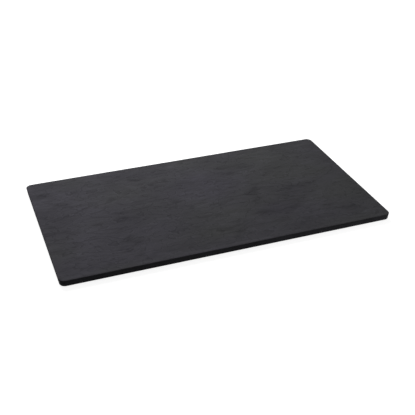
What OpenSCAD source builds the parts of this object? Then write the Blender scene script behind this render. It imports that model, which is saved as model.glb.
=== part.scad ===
// Slim serving tray moulded in melamine, on four stuck-on feet.
// X runs along the length, Y along the width from front to rear, and Z up.
// The origin lies on the surface that the feet stand on, under the middle of the tray.

/* [Tray] */
// Length over the widest line of the edge
tray_length = 325; // [200:1:530]
// Width over the widest line of the edge
tray_width = 176; // [120:1:325]
// Height of the moulding from its base rim to its serving face
moulding_height = 6.4; // [5:0.1:12]
// Radius of the corners in plan
corner_radius = 6; // [4:0.5:25]
// Radius of the edge round the serving face
top_edge_radius = 0.8; // [0.4:0.1:2]
// Radius of the edge round the base rim
base_edge_radius = 0.8; // [0.3:0.1:1.4]
// Angle by which the outer wall draws in towards the base
wall_lean = 8; // [2:1:20]

/* [Underside] */
// Thickness of the plate under the serving face
plate_thickness = 3.5; // [2:0.1:4.2]
// Width of the flat land that the base rim ends in
rim_land = 2; // [1:0.1:6]
// Angle by which the pocket's walls draw in towards its roof
pocket_draft = 10; // [2:1:25]
// Radius of the fillet between the pocket's walls and its roof
pocket_fillet = 1; // [0.3:0.1:1.4]

/* [Feet] */
// Diameter of a foot where it meets the tray
foot_diameter = 10; // [6:0.5:18]
// Distance from the tray's edge to the centre of a foot
foot_inset = 22; // [17:0.5:55]
// Height of the base rim over the surface that the feet stand on
standoff = 0.8; // [0.4:0.1:4]
// Angle by which a foot draws in towards its tread
foot_draft = 12; // [2:1:20]
// Radius of the edge round a foot's tread
tread_edge_radius = 0.6; // [0.2:0.1:1.2]
// Depth of the round seat that a foot is stuck into
seat_depth = 0.4; // [0.3:0.1:1.2]
// Gap round a foot in its seat
seat_clearance = 0.15; // [0.05:0.05:0.5]
// Thickness of the adhesive disc over a foot
adhesive_thickness = 0.2; // [0.05:0.05:0.25]
// Width of the bare ring that the adhesive disc leaves on a foot
adhesive_margin = 0.5; // [0.2:0.1:1.5]

/* [Hidden] */

$fn = 64;
// Depth by which a straight side runs inside the arcs that it meets
seam = 0.0005;
// Length by which a cut runs out of what it cuts
run_out = 1;

// Sides of the tray that a foot stands at, as signs of its X and Y
LEFT = -1;
RIGHT = 1;
FRONT = -1;
REAR = 1;

// Heights over the surface that the feet stand on
base_z = standoff;
top_z = base_z + moulding_height;
pocket_roof_z = top_z - plate_thickness;
seat_roof_z = pocket_roof_z + seat_depth;
foot_top_z = seat_roof_z - adhesive_thickness;

// Distances between the axes of the tray's corners
corner_span = [tray_length - 2 * corner_radius, tray_width - 2 * corner_radius];

// Reach of the pocket's mouth from those axes, inside the land of the base rim
base_reach = narrow_reach(corner_radius, moulding_height, top_edge_radius, base_edge_radius, wall_lean);
mouth_reach = base_reach - rim_land;
// Radius of the pocket's corners at its mouth, which leaves its fillet room to turn
pocket_rise = pocket_roof_z - base_z;
tightest_mouth = pocket_fillet + pocket_rise * tan(pocket_draft) + pocket_fillet;
mouth_radius = max(mouth_reach, tightest_mouth);
// Distances between the axes of the pocket's corners
pocket_span = corner_span + 2 * (mouth_reach - mouth_radius) * [1, 1];

// Radii and places of the feet
foot_radius = foot_diameter / 2;
seat_radius = foot_radius + seat_clearance;
adhesive_radius = foot_radius - adhesive_margin;
foot_place = [tray_length / 2 - foot_inset, tray_width / 2 - foot_inset];

// Reach of the arc centre at the narrow edge of a side that leans in from its wide edge.
// depth is the distance between the two edges, and each edge has its own radius.
function narrow_reach(reach, depth, wide_radius, narrow_radius, lean) =
    let (rise = wide_radius + narrow_radius - depth, step = wide_radius - narrow_radius)
    reach - wide_radius + (rise * sin(lean) + step) / cos(lean);

// Half of a section from its axis out to a side that leans in between two rounded edges.
// The wide edge lies at height 0, and the narrow edge at a depth below it.
module leaning_section(reach, depth, wide_radius, narrow_radius, lean) {
    normal = [cos(lean), -sin(lean)];
    wide = [reach - wide_radius, -wide_radius];
    narrow = [
        narrow_reach(reach, depth, wide_radius, narrow_radius, lean),
        narrow_radius - depth
    ];
    narrow_edge = [[narrow.x, -depth], narrow, narrow + (narrow_radius - seam) * normal];
    wide_edge = wide_radius > 0
        ? [wide + (wide_radius - seam) * normal, wide, [wide.x, 0]]
        : [wide];
    polygon(concat([[0, -depth]], narrow_edge, wide_edge, [[0, 0]]));
    translate(narrow) circle(narrow_radius);
    if (wide_radius > 0)
        translate(wide) circle(wide_radius);
}

// Block with round corners, whose edge has the half section given as children.
// span holds the distances between the corners' axes.
module swept_block(span, low_z, high_z) {
    for (turn = [0:3]) {
        along = turn % 2 == 0 ? span.y : span.x;
        across = turn % 2 == 0 ? span.x : span.y;
        rotate([0, 0, 90 * turn])
            translate([across / 2, 0, 0]) {
                rotate([90, 0, 0])
                    linear_extrude(along, center = true) children();
                translate([0, along / 2, 0])
                    rotate_extrude(angle = 90) children();
            }
    }
    translate([-span.x / 2, -span.y / 2, low_z])
        cube([span.x, span.y, high_z - low_z]);
}

// Places its children over the foot at one corner
module at_foot(x_side, y_side) {
    translate([x_side * foot_place.x, y_side * foot_place.y, 0]) children();
}

// Outer form of the moulding, with a rounded edge and a wall that draws in towards the base
module outer_form() {
    swept_block(corner_span, base_z, top_z)
        translate([0, top_z])
            leaning_section(corner_radius, moulding_height, top_edge_radius, base_edge_radius, wall_lean);
}

// Hollow under the plate, with drafted walls and a filleted roof
module underside_pocket() {
    mouth_z = base_z - run_out;
    reach = mouth_radius + run_out * tan(pocket_draft);
    swept_block(pocket_span, mouth_z, pocket_roof_z)
        translate([0, mouth_z])
            mirror([0, 1])
                leaning_section(reach, pocket_roof_z - mouth_z, 0, pocket_fillet, pocket_draft);
}

// Round seat in the pocket's roof
module foot_seat() {
    translate([0, 0, pocket_roof_z - run_out])
        cylinder(h = run_out + seat_depth, r = seat_radius);
}

// Melamine moulding that carries the load
module tray_body() {
    color("#3a3a3d")
        difference() {
            outer_form();
            underside_pocket();
            for (x_side = [LEFT, RIGHT], y_side = [FRONT, REAR])
                at_foot(x_side, y_side) foot_seat();
        }
}

// Non-slip foot, turned about its own axis
module foot() {
    color("#1c1c1d")
        rotate_extrude()
            translate([0, foot_top_z])
                leaning_section(foot_radius, foot_top_z, 0, tread_edge_radius, foot_draft);
}

// Adhesive disc between a foot and the roof of its seat
module adhesive_disc() {
    color("#d8d4c4")
        translate([0, 0, foot_top_z])
            cylinder(h = adhesive_thickness, r = adhesive_radius);
}

tray_body();
at_foot(LEFT, FRONT) foot();  // foot_front_left
at_foot(RIGHT, FRONT) foot();  // foot_front_right
at_foot(LEFT, REAR) foot();  // foot_rear_left
at_foot(RIGHT, REAR) foot();  // foot_rear_right
at_foot(LEFT, FRONT) adhesive_disc();  // adhesive_front_left
at_foot(RIGHT, FRONT) adhesive_disc();  // adhesive_front_right
at_foot(LEFT, REAR) adhesive_disc();  // adhesive_rear_left
at_foot(RIGHT, REAR) adhesive_disc();  // adhesive_rear_right
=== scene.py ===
"""Slate-effect melamine tray: a riven moulding on four stuck-on feet, in a plain white studio.

Sizes are in millimetres, apart from the studio's, which are in metres. The moulding is built in
millimetres in the part's own frame, and scaled to metres at the end.
"""

import logging
import math
from abc import ABC, abstractmethod
from collections.abc import Iterator
from dataclasses import dataclass, field
from enum import Enum, IntEnum
from typing import Any, NamedTuple

import bmesh
import bpy
from mathutils import Matrix, Vector, noise

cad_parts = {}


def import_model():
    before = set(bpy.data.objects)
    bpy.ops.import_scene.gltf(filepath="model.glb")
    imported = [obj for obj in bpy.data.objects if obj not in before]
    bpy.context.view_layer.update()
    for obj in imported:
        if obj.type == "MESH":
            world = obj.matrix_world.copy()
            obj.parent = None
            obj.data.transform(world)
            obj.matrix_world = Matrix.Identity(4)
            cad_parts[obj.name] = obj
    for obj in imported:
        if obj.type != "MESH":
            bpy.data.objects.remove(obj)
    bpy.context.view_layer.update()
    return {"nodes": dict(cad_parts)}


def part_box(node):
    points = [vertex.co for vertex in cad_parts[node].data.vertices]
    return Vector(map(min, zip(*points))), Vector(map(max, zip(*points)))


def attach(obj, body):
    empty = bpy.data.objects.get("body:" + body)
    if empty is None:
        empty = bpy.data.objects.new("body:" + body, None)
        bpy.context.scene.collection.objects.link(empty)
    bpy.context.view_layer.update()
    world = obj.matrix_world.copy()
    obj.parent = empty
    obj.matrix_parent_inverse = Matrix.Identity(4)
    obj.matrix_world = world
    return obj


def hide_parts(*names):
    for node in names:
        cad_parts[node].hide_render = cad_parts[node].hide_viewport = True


LOG = logging.getLogger("melamine_tray")

MM = 0.001
QUARTER_TURN = math.pi / 2
DOWN = (0.0, 0.0, -1.0)
BODY = "root"
LEAF_LEVEL = "leaf_level"
WHITE = "#FFFFFF"

Colour = tuple[float, float, float, float]
Triple = tuple[float, float, float]
Loop = list[bmesh.types.BMVert]


class Surface(IntEnum):
    """Faces of the moulding, in the order of its material slots."""

    SERVING = 0
    WALL = 1
    UNDERSIDE = 2


class StuckOn(Enum):
    """Kinds of stuck-on piece, by how the names of their nodes start."""

    FOOT = "foot_"
    DISC = "adhesive_"


def linear(hex_colour: str) -> Colour:
    """Turns an sRGB colour into the linear values that shaders take.

    Args:
        hex_colour: The colour as "#RRGGBB".

    Returns:
        Linear red, green, blue and an alpha of 1.
    """
    channels = []
    for start in (1, 3, 5):
        value = int(hex_colour[start:start + 2], 16) / 255
        # The sRGB curve: a straight foot, and a power above it
        channels.append(value / 12.92 if value <= 0.04045 else ((value + 0.055) / 1.055) ** 2.4)
    return (*channels, 1.0)


def clamp(value: float, low: float, high: float) -> float:
    """Returns a value held between two limits."""
    return min(max(value, low), high)


def smooth(share: float) -> float:
    """Returns a share held from 0 to 1 and eased at both ends."""
    share = clamp(share, 0.0, 1.0)
    return share * share * (3 - 2 * share)


def add_node(
    tree: bpy.types.NodeTree, kind: str, inputs: dict[Any, Any] | None = None, **settings: Any
) -> bpy.types.Node:
    """Adds a node with its settings, values and links.

    Args:
        tree: The tree that takes the node.
        kind: The node's type name.
        inputs: Values, or sockets to link from, by input name or index.
        **settings: Attributes to set on the node, before its inputs.

    Returns:
        The new node.
    """
    node = tree.nodes.new(kind)
    for name, value in settings.items():
        setattr(node, name, value)
    for key, value in (inputs or {}).items():
        if isinstance(value, bpy.types.NodeSocket):
            tree.links.new(value, node.inputs[key])
        else:
            node.inputs[key].default_value = value
    return node


class Pattern(NamedTuple):
    """An uneven pattern, fixed to its piece.

    cells is the size of its largest cells along X, Y and Z, and start slides it by a number of them.
    detail is how many finer sizes it has, fine_share how strong each is next to the last, and swirl how
    far they bend.
    """

    cells: Triple
    detail: float
    fine_share: float = 0.5
    swirl: float = 0.0
    start: Triple = (0.0, 0.0, 0.0)


def lay_patterns(tree: bpy.types.NodeTree, *patterns: Pattern) -> list[bpy.types.NodeSocket]:
    """Lays uneven patterns over a piece, each scaled from its size in millimetres.

    Args:
        tree: The material's tree.
        *patterns: The patterns to lay.

    Returns:
        The value of each pattern, from 0 to 1 and mostly near the middle.
    """
    place = add_node(tree, "ShaderNodeTexCoord").outputs["Object"]
    values = []
    for pattern in patterns:
        scale = [1 / (size * MM) for size in pattern.cells]
        cells = add_node(
            tree, "ShaderNodeMapping", {"Vector": place, "Location": pattern.start, "Scale": scale}
        ).outputs[0]
        uneven = add_node(
            tree, "ShaderNodeTexNoise",
            {"Vector": cells, "Scale": 1.0, "Detail": pattern.detail,
             "Roughness": pattern.fine_share, "Distortion": pattern.swirl},
        )
        values.append(uneven.outputs["Fac"])
    return values


def showing_rays(tree: bpy.types.NodeTree) -> bpy.types.NodeSocket:
    """Tells the rays that show the backdrop, direct, mirrored or through glass, from those that only light.

    Args:
        tree: The tree that takes the nodes.

    Returns:
        1 for a ray that shows the backdrop, and 0 for any other.
    """
    path = add_node(tree, "ShaderNodeLightPath")
    showing = path.outputs["Is Camera Ray"]
    for ray in ("Is Glossy Ray", "Is Transmission Ray"):
        showing = add_node(
            tree, "ShaderNodeMath", {0: showing, 1: path.outputs[ray]}, operation="MAXIMUM"
        ).outputs[0]
    return showing


@dataclass(frozen=True)
class Finish(ABC):
    """A real material with the surface that its making gives it."""

    name: str

    @abstractmethod
    def shader_inputs(self, tree: bpy.types.NodeTree) -> dict[str, Any]:
        """Adds the finish's own nodes and returns what goes into the shader, by input."""

    def material(self) -> bpy.types.Material:
        """Makes the material, with one Principled shader.

        Returns:
            The new material.
        """
        material = bpy.data.materials.new(self.name)
        material.use_nodes = True
        tree = material.node_tree
        tree.nodes.clear()
        shader = add_node(tree, "ShaderNodeBsdfPrincipled", self.shader_inputs(tree))
        add_node(tree, "ShaderNodeOutputMaterial", {"Surface": shader.outputs[0]})
        return material


class LeafMarks(NamedTuple):
    """Where a place lies on the leaves of the riven relief.

    step counts whole leaves from the deepest one. lip is 1 on the outer edge of a leaf, and foot is 1
    where the next leaf up stands on it.
    """

    step: bpy.types.NodeSocket
    lip: bpy.types.NodeSocket
    foot: bpy.types.NodeSocket


@dataclass(frozen=True)
class RivenMelamine(Finish):
    """Melamine, compression moulded against a riven slate tool.

    The pigment goes right through, so the tone changes little. The eye sees a matt, slightly dusty, softly
    mottled ground, fine streaks along the tray, a few soft dark scuffs, and a faint cast that drifts between
    sage and lilac. Each thin leaf has a pale lip, which is a painted highlight, and a dark foot, which is
    painted shade.
    """

    name: str = "melamine_moulded_riven_slate"
    # The ramp runs from cleft to ridge. Besides the random patterns, the painted shade at each leaf's foot
    # moves the tone towards cleft, and the painted highlight on each lip moves it towards ridge
    cleft: str = "#272729"
    ground: str = "#363638"
    ridge: str = "#444449"
    sage_cast: str = "#F8F9F6"
    lilac_cast: str = "#F3EDFF"
    ior: float = 1.6
    # Matched to the photograph: far below a smooth face's 0.5, since the relief breaks up the sheen
    specular_level: float = 0.055
    roughness_cleft: float = 0.78
    roughness_ridge: float = 0.6
    # Cells matched to the marks in the photograph. The cast is slid to bring its lilac to the left end, and
    # the mottle to bring its broad dark and pale patches about where the photograph has them
    cast: Pattern = Pattern((150.0, 80.0, 150.0), 2.0, start=(0.7, 0.5, 3.4))
    mottle: Pattern = Pattern((45.0, 26.0, 45.0), 3.0, fine_share=0.58, swirl=0.4, start=(6.1, 1.5, 0.6))
    wear: Pattern = Pattern((34.0, 17.0, 34.0), 3.0, swirl=0.4)
    streak: Pattern = Pattern((12.0, 2.6, 12.0), 4.0, fine_share=0.58, swirl=0.4)
    chip: Pattern = Pattern((3.4, 1.4, 3.4), 3.0, fine_share=0.58, swirl=0.4)
    # The tool's grit is about 0.2 mm, too fine to show, so it is drawn several times as coarse
    grit: Pattern = Pattern((1.5, 0.8, 1.5), 2.0, fine_share=0.58, swirl=0.4)
    cast_sage: float = 0.38
    cast_lilac: float = 0.62
    scuff_from: float = 0.56
    scuff_full: float = 0.74
    # How far chips move the edge of a leaf, and how wide its lip and foot are, in leaves
    chip_reach: float = 0.4
    lip_share: float = 0.14
    foot_share: float = 0.3
    # Places on the ramp from cleft to ridge, and how far each pattern and mark moves along it
    tone_cleft: float = 0.15
    tone_ground: float = 0.5
    tone_ridge: float = 0.85
    mottle_tone: float = 0.42
    streak_tone: float = 0.3
    grit_tone: float = 0.25
    scuff_tone: float = -0.21
    # The lip's pale mark is a painted highlight, and the foot's dark mark is painted shade
    lip_highlight_tone: float = 0.11
    foot_shade_tone: float = -0.16
    # Heights in millimetres
    leaf_bump: float = 0.03
    streak_bump: float = 0.045
    grit_bump: float = 0.025

    def shader_inputs(self, tree: bpy.types.NodeTree) -> dict[str, Any]:
        """Adds the nodes of the serving face.

        Args:
            tree: The material's tree.

        Returns:
            What goes into the shader, by input.
        """
        cast, mottle, wear, streak, chip, grit = lay_patterns(
            tree, self.cast, self.mottle, self.wear, self.streak, self.chip, self.grit
        )
        scuff = add_node(
            tree, "ShaderNodeMapRange",
            {"Value": wear, "From Min": self.scuff_from, "From Max": self.scuff_full},
            interpolation_type="SMOOTHSTEP",
        ).outputs[0]
        marks = self.leaf_marks(tree, chip)

        # Each pattern counts from its own middle, so that alone it leaves the ground's tone as it is
        uneven = ((mottle, self.mottle_tone), (streak, self.streak_tone), (grit, self.grit_tone))
        # Scuffs darken at random; the lip mark paints a highlight and the foot mark paints shade
        marked = ((scuff, self.scuff_tone), (marks.lip, self.lip_highlight_tone), (marks.foot, self.foot_shade_tone))
        tone = self.tone_ground - sum(weight for _, weight in uneven) / 2
        for source, weight in (*uneven, *marked):
            tone = add_node(
                tree, "ShaderNodeMath", {0: source, 1: weight, 2: tone}, operation="MULTIPLY_ADD"
            ).outputs[0]
        roughness = add_node(
            tree, "ShaderNodeMapRange",
            {"Value": tone, "From Min": self.tone_cleft, "From Max": self.tone_ridge,
             "To Min": self.roughness_cleft, "To Max": self.roughness_ridge},
        ).outputs[0]
        return {
            "Base Color": self.colour(tree, tone, cast),
            "Roughness": roughness,
            "IOR": self.ior,
            "Specular IOR Level": self.specular_level,
            "Normal": self.bump(tree, marks, streak, grit),
        }

    def leaf_marks(self, tree: bpy.types.NodeTree, chip: bpy.types.NodeSocket) -> LeafMarks:
        """Finds the leaves of the relief, with their edges chipped finer than the mesh can show.

        Args:
            tree: The material's tree.
            chip: The pattern that chips the edges.

        Returns:
            The marks of the leaves.
        """
        level = add_node(tree, "ShaderNodeAttribute", attribute_name=LEAF_LEVEL).outputs["Fac"]
        chipped = add_node(
            tree, "ShaderNodeMath", {0: chip, 1: self.chip_reach, 2: level}, operation="MULTIPLY_ADD"
        ).outputs[0]
        step = add_node(tree, "ShaderNodeMath", {0: chipped}, operation="FLOOR").outputs[0]
        part = add_node(tree, "ShaderNodeMath", {0: chipped}, operation="FRACT").outputs[0]
        edges = []
        for start, full in ((self.lip_share, 0.0), (1 - self.foot_share, 1.0)):
            edge = add_node(
                tree, "ShaderNodeMapRange", {"Value": part, "From Min": start, "From Max": full},
                interpolation_type="SMOOTHSTEP",
            )
            edges.append(edge.outputs[0])
        lip, foot = edges
        return LeafMarks(step, lip, foot)

    def colour(
        self, tree: bpy.types.NodeTree, tone: bpy.types.NodeSocket, cast: bpy.types.NodeSocket
    ) -> bpy.types.NodeSocket:
        """Colours the tones from cleft to ridge, under the drifting cast.

        Args:
            tree: The material's tree.
            tone: The tone, from cleft to ridge.
            cast: The pattern of the cast.

        Returns:
            The colour.
        """
        ramp = add_node(tree, "ShaderNodeValToRGB", {"Fac": tone})
        stops = ramp.color_ramp.elements
        stops.new(self.tone_ground)
        places = (self.tone_cleft, self.tone_ground, self.tone_ridge)
        for stop, place, shade in zip(stops, places, (self.cleft, self.ground, self.ridge)):
            stop.position = place
            stop.color = linear(shade)
        share = add_node(
            tree, "ShaderNodeMapRange",
            {"Value": cast, "From Min": self.cast_sage, "From Max": self.cast_lilac},
        ).outputs[0]
        tint = add_node(
            tree, "ShaderNodeMixRGB",
            {"Fac": share, "Color1": linear(self.sage_cast), "Color2": linear(self.lilac_cast)},
        ).outputs[0]
        return add_node(
            tree, "ShaderNodeMixRGB", {"Fac": 1.0, "Color1": ramp.outputs["Color"], "Color2": tint},
            blend_type="MULTIPLY",
        ).outputs[0]

    def bump(
        self,
        tree: bpy.types.NodeTree,
        marks: LeafMarks,
        streak: bpy.types.NodeSocket,
        grit: bpy.types.NodeSocket,
    ) -> bpy.types.NodeSocket:
        """Adds heights in millimetres on top of those that the mesh has.

        Args:
            tree: The material's tree.
            marks: The marks of the leaves.
            streak: The pattern of the streaks.
            grit: The pattern of the grit.

        Returns:
            The normal.
        """
        leaves = add_node(tree, "ShaderNodeMath", {0: marks.step, 1: marks.foot}).outputs[0]
        height = 0.0
        layers = ((leaves, self.leaf_bump), (streak, self.streak_bump), (grit, self.grit_bump))
        for source, depth in layers:
            height = add_node(
                tree, "ShaderNodeMath", {0: source, 1: depth, 2: height}, operation="MULTIPLY_ADD"
            ).outputs[0]
        return add_node(tree, "ShaderNodeBump", {"Height": height, "Distance": MM}).outputs[0]


@dataclass(frozen=True)
class SatinMelamine(Finish):
    """Melamine, compression moulded against a fine-blasted steel tool.

    The eye sees a nearly black, smooth face with a low even sheen, which the tool's grain breaks up. Its
    colour is darker than the serving face's ground partly as painted shade, and partly for the smooth face's
    darker look.
    """

    name: str = "melamine_moulded_satin"
    # Darker than the serving face's ground though the pigment is the same: partly painted shade for the wall
    # and underside, which turn away from the lamps, and partly the smooth face's darker look
    deep: str = "#1D1D1F"
    pale: str = "#2A2A2D"
    ior: float = 1.6
    # Matched to the photograph: a blasted face has little of a polished one's sheen
    specular_level: float = 0.015
    roughness_deep: float = 0.45
    roughness_pale: float = 0.6
    cloud: Pattern = Pattern((14.0, 14.0, 14.0), 3.0)
    # Blasting leaves a grain of about 0.1 mm, too fine to show, so it is drawn ten times as coarse
    grain: Pattern = Pattern((1.1, 1.1, 1.1), 2.0)
    grain_tone: float = 0.8
    tone_reach: float = 0.25
    grain_bump: float = 0.05

    def shader_inputs(self, tree: bpy.types.NodeTree) -> dict[str, Any]:
        """Adds the nodes of the wall and the underside.

        Args:
            tree: The material's tree.

        Returns:
            What goes into the shader, by input.
        """
        cloud, grain = lay_patterns(tree, self.cloud, self.grain)
        tone = add_node(
            tree, "ShaderNodeMath", {0: grain, 1: self.grain_tone, 2: cloud}, operation="MULTIPLY_ADD"
        ).outputs[0]
        middle = (1 + self.grain_tone) / 2
        share = add_node(
            tree, "ShaderNodeMapRange",
            {"Value": tone, "From Min": middle - self.tone_reach, "From Max": middle + self.tone_reach},
        ).outputs[0]
        colour = add_node(
            tree, "ShaderNodeMixRGB",
            {"Fac": share, "Color1": linear(self.deep), "Color2": linear(self.pale)},
        ).outputs[0]
        roughness = add_node(
            tree, "ShaderNodeMapRange",
            {"Value": share, "To Min": self.roughness_deep, "To Max": self.roughness_pale},
        ).outputs[0]
        bump = add_node(
            tree, "ShaderNodeBump", {"Height": grain, "Distance": self.grain_bump * MM}
        ).outputs[0]
        return {
            "Base Color": colour,
            "Roughness": roughness,
            "IOR": self.ior,
            "Specular IOR Level": self.specular_level,
            "Normal": bump,
        }


@dataclass(frozen=True)
class SiliconeRubber(Finish):
    """Silicone rubber, compression moulded.

    The eye sees a soft black with a dusty bloom and almost no shine.
    """

    name: str = "silicone_rubber_moulded"
    deep: str = "#161617"
    dusty: str = "#2A2A2B"
    ior: float = 1.41
    roughness_deep: float = 0.62
    roughness_dusty: float = 0.8
    bloom: Pattern = Pattern((2.5, 2.5, 2.5), 3.0)
    # The mould's grain is under 0.1 mm, too fine to show, so it is drawn several times as coarse
    grain: Pattern = Pattern((0.35, 0.35, 0.35), 1.0)
    bloom_from: float = 0.35
    bloom_full: float = 0.75
    grain_bump: float = 0.01

    def shader_inputs(self, tree: bpy.types.NodeTree) -> dict[str, Any]:
        """Adds the nodes of the feet.

        Args:
            tree: The material's tree.

        Returns:
            What goes into the shader, by input.
        """
        bloom, grain = lay_patterns(tree, self.bloom, self.grain)
        share = add_node(
            tree, "ShaderNodeMapRange",
            {"Value": bloom, "From Min": self.bloom_from, "From Max": self.bloom_full},
        ).outputs[0]
        colour = add_node(
            tree, "ShaderNodeMixRGB",
            {"Fac": share, "Color1": linear(self.deep), "Color2": linear(self.dusty)},
        ).outputs[0]
        roughness = add_node(
            tree, "ShaderNodeMapRange",
            {"Value": bloom, "To Min": self.roughness_deep, "To Max": self.roughness_dusty},
        ).outputs[0]
        bump = add_node(
            tree, "ShaderNodeBump", {"Height": grain, "Distance": self.grain_bump * MM}
        ).outputs[0]
        return {"Base Color": colour, "Roughness": roughness, "IOR": self.ior, "Normal": bump}


@dataclass(frozen=True)
class AcrylicAdhesive(Finish):
    """Acrylic adhesive film, cast and die cut.

    The eye sees a cloudy, slightly yellow film with the wet look of a tacky edge.
    """

    name: str = "acrylic_adhesive_cast"
    clear: str = "#B9B39C"
    cloudy: str = "#D8D4C4"
    ior: float = 1.48
    roughness: float = 0.3
    cloud: Pattern = Pattern((1.8, 1.8, 1.8), 2.0)
    cloud_from: float = 0.35
    cloud_full: float = 0.65

    def shader_inputs(self, tree: bpy.types.NodeTree) -> dict[str, Any]:
        """Adds the nodes of the adhesive discs.

        Args:
            tree: The material's tree.

        Returns:
            What goes into the shader, by input.
        """
        cloud = lay_patterns(tree, self.cloud)[0]
        share = add_node(
            tree, "ShaderNodeMapRange",
            {"Value": cloud, "From Min": self.cloud_from, "From Max": self.cloud_full},
        ).outputs[0]
        colour = add_node(
            tree, "ShaderNodeMixRGB",
            {"Fac": share, "Color1": linear(self.clear), "Color2": linear(self.cloudy)},
        ).outputs[0]
        return {"Base Color": colour, "Roughness": self.roughness, "IOR": self.ior}


@dataclass(frozen=True)
class StudioPaper(Finish):
    """Background paper, uncoated and matt.

    The eye sees a pale, even ground with the tray's soft shadow on it. For the eye and for reflections it is
    lifted to white, fully so away from the tray. The lift's two distances are in metres.
    """

    name: str = "studio_paper_matt"
    tone: str = "#BCBCBC"
    lift: float = 0.86
    lift_from: float = 0.18
    lift_full: float = 0.36

    def shader_inputs(self, tree: bpy.types.NodeTree) -> dict[str, Any]:
        """Adds the nodes of the floor.

        Args:
            tree: The material's tree.

        Returns:
            What goes into the shader, by input.
        """
        place = add_node(tree, "ShaderNodeTexCoord").outputs["Object"]
        away = add_node(tree, "ShaderNodeVectorMath", {0: place}, operation="LENGTH").outputs["Value"]
        lift = add_node(
            tree, "ShaderNodeMapRange",
            {"Value": away, "From Min": self.lift_from, "From Max": self.lift_full,
             "To Min": self.lift, "To Max": 1.0},
            interpolation_type="SMOOTHSTEP",
        ).outputs[0]
        strength = add_node(
            tree, "ShaderNodeMath", {0: showing_rays(tree), 1: lift}, operation="MULTIPLY"
        ).outputs[0]
        return {
            "Base Color": linear(self.tone),
            "Roughness": 1.0,
            "Specular IOR Level": 0.0,
            "Emission Color": linear(WHITE),
            "Emission Strength": strength,
        }


class Growth(NamedTuple):
    """One layer of the slate's uneven growth.

    cell is the length and width of its largest features, sizes how many sizes it has, each half the last, and
    layer a number that sets it apart from the others.
    """

    cell: tuple[float, float]
    sizes: int
    layer: float


@dataclass(frozen=True)
class SlateRelief:
    """Riven face of slate: thin leaves split back from each other, with a fine grain along X.

    Heights count down from the highest leaf, so the relief is cut into the moulding and never stands proud.
    """

    leaves: int = 6
    leaf_height: float = 0.09
    leaf_tilt: float = 0.35
    riser_share: float = 0.2
    swell_share: float = 0.55
    ragged_share: float = 0.3
    grain_height: float = 0.06
    bend_reach: float = 9.0
    bend_x: Growth = Growth((60.0, 60.0), 2, 1.0)
    bend_y: Growth = Growth((60.0, 60.0), 2, 2.0)
    swell: Growth = Growth((78.0, 42.0), 4, 3.0)
    ragged: Growth = Growth((17.0, 7.0), 3, 4.0)
    grain: Growth = Growth((16.0, 5.0), 3, 5.0)
    fading: float = 1.0
    size_ratio: float = 2.0
    seed: Vector = field(default_factory=lambda: Vector((3.7, 11.3, 5.9)))

    @property
    def depth(self) -> float:
        """Depth of the deepest cleft."""
        return self.leaves * self.leaf_height + self.grain_height

    def grown(self, growth: Growth, x: float, y: float) -> float:
        """Returns one layer's growth at a place, about -1 to 1."""
        place = Vector((x / growth.cell[0], y / growth.cell[1], growth.layer)) + self.seed
        return noise.fractal(place, self.fading, self.size_ratio, growth.sizes)

    def sample(self, x: float, y: float) -> tuple[float, float]:
        """Finds the face at one place.

        Args:
            x: Place along the length.
            y: Place along the width.

        Returns:
            The height, from minus the depth to 0, and the level in leaves from the deepest.
        """
        bent = (
            x + self.bend_reach * self.grown(self.bend_x, x, y),
            y + self.bend_reach * self.grown(self.bend_y, x, y),
        )
        swell = self.grown(self.swell, *bent) + self.ragged_share * self.grown(self.ragged, *bent)
        level = self.leaves * clamp(0.5 + self.swell_share * swell, 0.0, 1.0)
        leaf = math.floor(level)
        part = level - leaf
        riser = smooth((part - 1 + self.riser_share) / self.riser_share)
        stepped = leaf + self.leaf_tilt * part + (1 - self.leaf_tilt) * riser
        grain = (1 - self.grown(self.grain, *bent)) / 2
        drop = (self.leaves - stepped) * self.leaf_height + grain * self.grain_height
        return -clamp(drop, 0.0, self.depth), level


@dataclass(frozen=True)
class Station:
    """One place on the way round the tray: a point between the corner axes and the way out from it."""

    x: float
    y: float
    out_x: float
    out_y: float

    def at(self, reach: float) -> tuple[float, float]:
        """Returns the place at this reach from the corner axes."""
        return self.x + reach * self.out_x, self.y + reach * self.out_y


def stations(
    half_x: float, half_y: float, steps_x: int, steps_y: int, corner_steps: int
) -> Iterator[Station]:
    """Goes round a rectangle of corner axes, anticlockwise from the front of the right side.

    Args:
        half_x: Half the distance between the axes along X.
        half_y: Half the distance between the axes along Y.
        steps_x: Steps along each front and rear run.
        steps_y: Steps along each side run.
        corner_steps: Steps round each corner.

    Yields:
        The stations, each once.
    """
    for turn in range(4):
        sideways = turn % 2 == 0
        away, half, steps = (half_x, half_y, steps_y) if sideways else (half_y, half_x, steps_x)
        out = Vector((1.0, 0.0))
        out.rotate(Matrix.Rotation(turn * QUARTER_TURN, 2))
        along = Vector((-out.y, out.x))
        for step in range(steps + 1):
            place = out * away + along * half * (2 * step / steps - 1)
            yield Station(place.x, place.y, out.x, out.y)
        axis = out * away + along * half
        for step in range(1, corner_steps):
            angle = QUARTER_TURN * (turn + step / corner_steps)
            yield Station(axis.x, axis.y, math.cos(angle), math.sin(angle))


def arc(centre: Vector, radius: float, start: float, end: float, steps: int) -> list[Vector]:
    """Places points along a flat arc.

    Args:
        centre: Centre of the arc.
        radius: Radius of the arc.
        start: Angle at which it starts.
        end: Angle at which it ends.
        steps: Steps from start to end.

    Returns:
        The points, with both ends.
    """
    points = []
    for step in range(steps + 1):
        angle = start + (end - start) * step / steps
        points.append(centre + radius * Vector((math.cos(angle), math.sin(angle))))
    return points


@dataclass(frozen=True)
class Ring:
    """One line of the tray's section, swept all the way round.

    surface is the face of the band that ends on this line, and relief the share of the slate relief here.
    """

    reach: float
    z: float
    surface: Surface
    relief: float = 0.0


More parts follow.
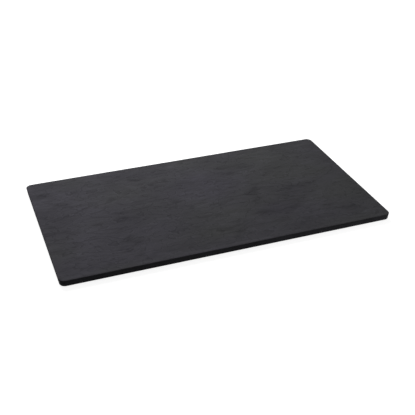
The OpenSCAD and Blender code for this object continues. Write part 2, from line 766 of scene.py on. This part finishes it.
@dataclass
class TrayMoulding:
    """The melamine moulding: a riven serving face, a drawn-in wall and a hollow underside.

    edge_relief is the share of the relief where the serving face meets its rounded edge, and edge_finish the
    share of that edge that keeps the serving face's finish.
    """

    finishes: dict[Surface, bpy.types.Material]
    relief: SlateRelief = field(default_factory=SlateRelief)
    node: str = "tray_body"
    material_slot: str = "melamine"
    corner_radius: float = 6.0
    top_edge_radius: float = 0.8
    base_edge_radius: float = 0.8
    wall_lean: float = math.radians(8.0)
    plate_thickness: float = 3.5
    rim_land: float = 2.0
    pocket_draft: float = math.radians(10.0)
    pocket_fillet: float = 1.0
    seat_depth: float = 0.4
    seat_clearance: float = 0.15
    edge_relief: float = 0.35
    edge_finish: float = 0.5
    grid_step: float = 0.9
    corner_steps: int = 10
    strip_steps: int = 6
    edge_steps: int = 4
    wall_steps: int = 2
    fillet_steps: int = 6
    seat_steps: int = 48
    crease: float = math.radians(28.0)
    base_z: float = field(init=False)
    top_z: float = field(init=False)
    half_x: float = field(init=False)
    half_y: float = field(init=False)
    level_layer: bmesh.types.BMLayerItem = field(init=False)

    def __post_init__(self) -> None:
        """Takes the tray's overall sizes from the frame."""
        low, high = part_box(self.node)
        self.base_z = low[2] / MM
        self.top_z = high[2] / MM
        self.half_x = (high[0] - low[0]) / 2 / MM - self.corner_radius
        self.half_y = (high[1] - low[1]) / 2 / MM - self.corner_radius

    def build(self, feet: list[str]) -> bpy.types.Object:
        """Builds the moulding as one closed mesh.

        Args:
            feet: Names of the CAD nodes of the feet, which get a seat each.

        Returns:
            The moulding's object, which stands for the CAD node.
        """
        bm = bmesh.new()
        self.level_layer = bm.verts.layers.float.new(LEAF_LEVEL)
        base_loop, base_reach = self.build_outside(bm)
        self.build_underside(bm, base_loop, base_reach, feet)
        bmesh.ops.recalc_face_normals(bm, faces=bm.faces)
        bmesh.ops.scale(bm, vec=(MM, MM, MM), verts=bm.verts)
        mesh = bpy.data.meshes.new("tray_moulding")
        bm.to_mesh(mesh)
        bm.free()
        mesh.shade_smooth()
        mesh.set_sharp_from_angle(angle=self.crease)
        moulding = bpy.data.objects.new("tray_moulding", mesh)
        bpy.context.scene.collection.objects.link(moulding)
        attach(moulding, BODY)
        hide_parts(self.node)
        return moulding

    def dress(self, moulding: bpy.types.Object) -> None:
        """Gives the moulding its finishes, in the order of its surfaces."""
        for surface in Surface:
            moulding.data.materials.append(self.finishes[surface])

    def outer_rings(self) -> list[Ring]:
        """Lines of the outside, from the serving face over the edge and down the wall.

        Returns:
            The lines, with the one round the base rim last.
        """
        # The wall is the straight line that touches both rounded edges
        lean = self.wall_lean
        top_reach = self.corner_radius - self.top_edge_radius
        top_z = self.top_z - self.top_edge_radius
        base_z = self.base_z + self.base_edge_radius
        inset = (base_z - top_z) * math.sin(lean) + self.top_edge_radius - self.base_edge_radius
        base_reach = top_reach + inset / math.cos(lean)
        edge = arc(
            Vector((top_reach, top_z)), self.top_edge_radius, QUARTER_TURN, -lean, self.edge_steps
        )
        rim = arc(
            Vector((base_reach, base_z)), self.base_edge_radius, -lean, -QUARTER_TURN, self.edge_steps
        )
        rings = []
        for step in range(1, self.strip_steps + 1):
            share = step / self.strip_steps
            relief = 1 - (1 - self.edge_relief) * smooth(share)
            rings.append(Ring(top_reach * share, self.top_z, Surface.SERVING, relief))
        for step, place in enumerate(edge[1:], 1):
            share = step / self.edge_steps
            surface = Surface.SERVING if share <= self.edge_finish else Surface.WALL
            rings.append(Ring(place.x, place.y, surface, self.edge_relief * smooth(1 - share)))
        wall = [edge[-1].lerp(rim[0], step / self.wall_steps) for step in range(1, self.wall_steps + 1)]
        for place in (*wall, *rim[1:]):
            rings.append(Ring(place.x, place.y, Surface.WALL))
        return rings

    def pocket_rings(self, base_reach: float) -> list[Ring]:
        """Lines of the hollow under the plate, from its mouth to its roof.

        Args:
            base_reach: Reach of the outer edge of the base rim's land.

        Returns:
            The lines, with the mouth first.
        """
        draft = self.pocket_draft
        mouth = base_reach - self.rim_land
        fillet_z = self.top_z - self.plate_thickness - self.pocket_fillet
        inset = (fillet_z - self.base_z) * math.sin(draft) + self.pocket_fillet
        centre = Vector((mouth - inset / math.cos(draft), fillet_z))
        fillet = arc(centre, self.pocket_fillet, draft, QUARTER_TURN, self.fillet_steps)
        places = (Vector((mouth, self.base_z)), *fillet)
        return [Ring(place.x, place.y, Surface.UNDERSIDE) for place in places]

    def build_outside(self, bm: bmesh.types.BMesh) -> tuple[Loop, float]:
        """Builds the serving face, its edge and the wall.

        Args:
            bm: The mesh that takes the faces.

        Returns:
            The last loop, round the base rim, and its reach from the corner axes.
        """
        steps_x = round(2 * self.half_x / self.grid_step)
        steps_y = round(2 * self.half_y / self.grid_step)
        grid = self.build_grid(bm, steps_x, steps_y)
        way = list(stations(self.half_x, self.half_y, steps_x, steps_y, self.corner_steps))
        loop = []
        for station in way:
            column = round((station.x / self.half_x + 1) / 2 * steps_x)
            row = round((station.y / self.half_y + 1) / 2 * steps_y)
            loop.append(grid[column][row])
        rings = self.outer_rings()
        for ring in rings:
            loop = self.sweep(bm, way, loop, ring)
        return loop, rings[-1].reach

    def build_grid(self, bm: bmesh.types.BMesh, steps_x: int, steps_y: int) -> list[Loop]:
        """Builds the serving face between the corner axes.

        Args:
            bm: The mesh that takes the faces.
            steps_x: Steps along the length.
            steps_y: Steps along the width.

        Returns:
            The vertices, in columns from left to right that each go from front to rear.
        """
        xs = [self.half_x * (2 * step / steps_x - 1) for step in range(steps_x + 1)]
        ys = [self.half_y * (2 * step / steps_y - 1) for step in range(steps_y + 1)]
        grid = [[self.vertex(bm, x, y, self.top_z, 1.0) for y in ys] for x in xs]
        for left, right in zip(grid, grid[1:]):
            for row in range(steps_y):
                corners = (left[row], right[row], right[row + 1], left[row + 1])
                bm.faces.new(corners).material_index = Surface.SERVING
        return grid

    def build_underside(
        self, bm: bmesh.types.BMesh, base_loop: Loop, base_reach: float, feet: list[str]
    ) -> None:
        """Builds the base rim's land, the pocket and the feet's seats.

        Args:
            bm: The mesh that takes the faces.
            base_loop: The outer loop of the land.
            base_reach: Reach of that loop from the corner axes.
            feet: Names of the CAD nodes of the feet.
        """
        way = list(stations(self.half_x, self.half_y, 1, 1, self.corner_steps))
        mouth, *inner = self.pocket_rings(base_reach)
        loop = [self.vertex(bm, *station.at(mouth.reach), mouth.z) for station in way]
        self.fill(bm, [base_loop, loop])
        for ring in inner:
            loop = self.sweep(bm, way, loop, ring)
        roof_z = inner[-1].z
        mouths = [self.build_seat(bm, foot, roof_z) for foot in feet]
        self.fill(bm, [loop, *mouths])

    def build_seat(self, bm: bmesh.types.BMesh, foot: str, roof_z: float) -> Loop:
        """Builds the wall and the roof of a foot's round seat.

        Args:
            bm: The mesh that takes the faces.
            foot: Name of the foot's CAD node.
            roof_z: Height of the pocket's roof, where the seat opens.

        Returns:
            The loop round the seat's mouth.
        """
        low, high = (Vector(corner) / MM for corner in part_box(foot))
        centre = (low + high) / 2
        radius = (high.x - low.x) / 2 + self.seat_clearance
        places = arc(centre.xy, radius, 0.0, math.tau, self.seat_steps)[:-1]
        mouth, roof = (
            [self.vertex(bm, place.x, place.y, z) for place in places]
            for z in (roof_z, roof_z + self.seat_depth)
        )
        for index in range(self.seat_steps):
            following = (index + 1) % self.seat_steps
            corners = (mouth[index], mouth[following], roof[following], roof[index])
            bm.faces.new(corners).material_index = Surface.UNDERSIDE
        bm.faces.new(roof).material_index = Surface.UNDERSIDE
        return mouth

    def vertex(
        self, bm: bmesh.types.BMesh, x: float, y: float, z: float, relief: float = 0.0
    ) -> bmesh.types.BMVert:
        """Adds a vertex, lowered by its share of the relief.

        Args:
            bm: The mesh that takes the vertex.
            x: Place along the length.
            y: Place along the width.
            z: Height before the relief.
            relief: Share of the relief, from 0 to 1.

        Returns:
            The new vertex.
        """
        height, level = self.relief.sample(x, y) if relief else (0.0, 0.0)
        vert = bm.verts.new((x, y, z + relief * height))
        vert[self.level_layer] = level
        return vert

    def sweep(self, bm: bmesh.types.BMesh, way: list[Station], loop: Loop, ring: Ring) -> Loop:
        """Adds the band from a loop to the next line of the section.

        Args:
            bm: The mesh that takes the band.
            way: The stations round the tray.
            loop: The loop that the band starts on, with one vertex a station.
            ring: The line that the band ends on.

        Returns:
            The loop on that line.
        """
        outer = [self.vertex(bm, *station.at(ring.reach), ring.z, ring.relief) for station in way]
        for index, vert in enumerate(outer):
            following = (index + 1) % len(way)
            corners = [loop[index], vert, outer[following], loop[following]]
            # The first band starts at one point in each corner, so its faces there are triangles
            if corners[0] is corners[-1]:
                corners.pop()
            bm.faces.new(corners).material_index = ring.surface
        return outer

    def fill(self, bm: bmesh.types.BMesh, loops: list[Loop]) -> None:
        """Fills a flat face of the underside between its outer loop and the loops inside it.

        Args:
            bm: The mesh that takes the faces.
            loops: Closed loops of vertices at one height.
        """
        edges = []
        for loop in loops:
            for vert, following in zip(loop, loop[1:] + loop[:1]):
                edges.append(bm.edges.get((vert, following)) or bm.edges.new((vert, following)))
        made = bmesh.ops.triangle_fill(bm, edges=edges, use_beauty=True, normal=DOWN)
        for item in made["geom"]:
            if isinstance(item, bmesh.types.BMFace):
                item.material_index = Surface.UNDERSIDE


@dataclass
class StuckOnFeet:
    """The feet and the adhesive discs over them, which keep the shape of their CAD solids."""

    nodes: dict[str, bpy.types.Object]
    finishes: dict[StuckOn, bpy.types.Material]

    def names(self, kind: StuckOn) -> list[str]:
        """Returns the names of the nodes of one kind."""
        return sorted(name for name in self.nodes if name.startswith(kind.value))

    def dress(self) -> list[bpy.types.Object]:
        """Gives each foot and disc its finish.

        Returns:
            The feet and the discs.
        """
        dressed = []
        for kind in StuckOn:
            for name in self.names(kind):
                piece = self.nodes[name]
                piece.data.materials.clear()
                piece.data.materials.append(self.finishes[kind])
                dressed.append(piece)
        return dressed


@dataclass(frozen=True)
class Softbox:
    """A soft rectangular lamp, placed in metres and aimed at the tray."""

    name: str
    place: Triple
    aim: Triple
    width: float
    height: float
    watts: float

    def build(self) -> bpy.types.Object:
        """Adds the lamp to the scene.

        Returns:
            The lamp's object.
        """
        light = bpy.data.lights.new(self.name, "AREA")
        light.shape = "RECTANGLE"
        light.size = self.width
        light.size_y = self.height
        light.energy = self.watts
        lamp = bpy.data.objects.new(self.name, light)
        lamp.location = self.place
        lamp.visible_camera = False
        lamp.rotation_mode = "QUATERNION"
        lamp.rotation_quaternion = (Vector(self.aim) - Vector(self.place)).to_track_quat("-Z", "Y")
        bpy.context.scene.collection.objects.link(lamp)
        return lamp


@dataclass(frozen=True)
class PhotoCamera:
    """The photograph's camera, from a perspective fit to the tray's four straight edges.

    The aim point lies on the serving face, and its place is counted from the middle of the tray. The two clip
    distances are in metres.
    """

    elevation: float = math.radians(31.297)
    azimuth: float = math.radians(20.689)
    roll: float = math.radians(0.431)
    distance: float = 763.03
    aim: tuple[float, float] = (-1.77, -16.51)
    focal_px: float = 777.05
    image_px: float = 415.0
    sensor: float = 36.0
    clip_start: float = 0.01
    clip_end: float = 50.0

    def build(self, top_z: float) -> bpy.types.Object:
        """Adds the camera to the scene.

        Args:
            top_z: Height of the serving face.

        Returns:
            The camera's object.
        """
        flat = math.cos(self.elevation)
        forward = Vector(
            (math.sin(self.azimuth) * flat, math.cos(self.azimuth) * flat, -math.sin(self.elevation))
        )
        right = Vector((math.cos(self.azimuth), -math.sin(self.azimuth), 0.0))
        up = right.cross(forward)
        rolled_right = math.cos(self.roll) * right + math.sin(self.roll) * up
        rolled_up = math.cos(self.roll) * up - math.sin(self.roll) * right
        matrix = Matrix((rolled_right, rolled_up, -forward)).transposed().to_4x4()
        matrix.translation = (Vector((*self.aim, top_z)) - self.distance * forward) * MM
        data = bpy.data.cameras.new("photo_camera")
        data.sensor_width = self.sensor
        data.lens = self.focal_px * self.sensor / self.image_px
        data.clip_start = self.clip_start
        data.clip_end = self.clip_end
        camera = bpy.data.objects.new("photo_camera", data)
        camera.matrix_world = matrix
        bpy.context.scene.collection.objects.link(camera)
        bpy.context.scene.camera = camera
        return camera


@dataclass
class Studio:
    """A white paper floor under soft lamps, with a weak even light all round. Lengths are in metres."""

    paper: bpy.types.Material
    floor_half: float = 3.0
    ambient: float = 0.2
    lamps: tuple[Softbox, ...] = (
        Softbox(
            "rear_softbox", place=(-0.05, 0.45, 0.42), aim=(0.0, 0.0, 0.0), width=0.6, height=0.4, watts=3.7
        ),
        Softbox(
            "low_side_strip", place=(0.36, -0.3, 0.03), aim=(0.13, -0.09, 0.0), width=0.25, height=0.04,
            watts=0.55,
        ),
    )

    def build(self) -> None:
        """Adds the floor, the lamps and the surrounding light."""
        mesh = bpy.data.meshes.new("paper_floor")
        half = self.floor_half
        corners = [(-half, -half, 0), (half, -half, 0), (half, half, 0), (-half, half, 0)]
        mesh.from_pydata(corners, [], [(0, 1, 2, 3)])
        mesh.materials.append(self.paper)
        floor = bpy.data.objects.new("paper_floor", mesh)
        bpy.context.scene.collection.objects.link(floor)
        for lamp in self.lamps:
            lamp.build()
        self.surround()
        bpy.context.scene.view_settings.view_transform = "Standard"

    def surround(self) -> None:
        """Makes the world white to the eye and to reflections, and a weak even light on the rest."""
        world = bpy.data.worlds.new("white_studio")
        world.use_nodes = True
        tree = world.node_tree
        tree.nodes.clear()
        strength = add_node(
            tree, "ShaderNodeMapRange",
            {"Value": showing_rays(tree), "To Min": self.ambient, "To Max": 1.0},
        ).outputs[0]
        background = add_node(
            tree, "ShaderNodeBackground", {"Color": linear(WHITE), "Strength": strength}
        )
        add_node(tree, "ShaderNodeOutputWorld", {"Surface": background.outputs[0]})
        bpy.context.scene.world = world


def main() -> None:
    """Builds the tray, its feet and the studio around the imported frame."""
    logging.basicConfig(level=logging.INFO, format="%(name)s: %(message)s")
    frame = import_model()

    feet = StuckOnFeet(
        frame["nodes"],
        {StuckOn.FOOT: SiliconeRubber().material(), StuckOn.DISC: AcrylicAdhesive().material()},
    )
    satin = SatinMelamine().material()
    tray = TrayMoulding(
        {
            Surface.SERVING: RivenMelamine().material(),
            Surface.WALL: satin,
            Surface.UNDERSIDE: satin,
        }
    )
    moulding = tray.build(feet.names(StuckOn.FOOT))
    tray.dress(moulding)
    for piece in (moulding, *feet.dress()):
        finishes = ", ".join(piece.data.materials.keys())
        LOG.info("%s: %d faces, dressed in %s", piece.name, len(piece.data.polygons), finishes)

    Studio(StudioPaper().material()).build()
    PhotoCamera().build(tray.top_z)


if __name__ == "__main__":
    main()
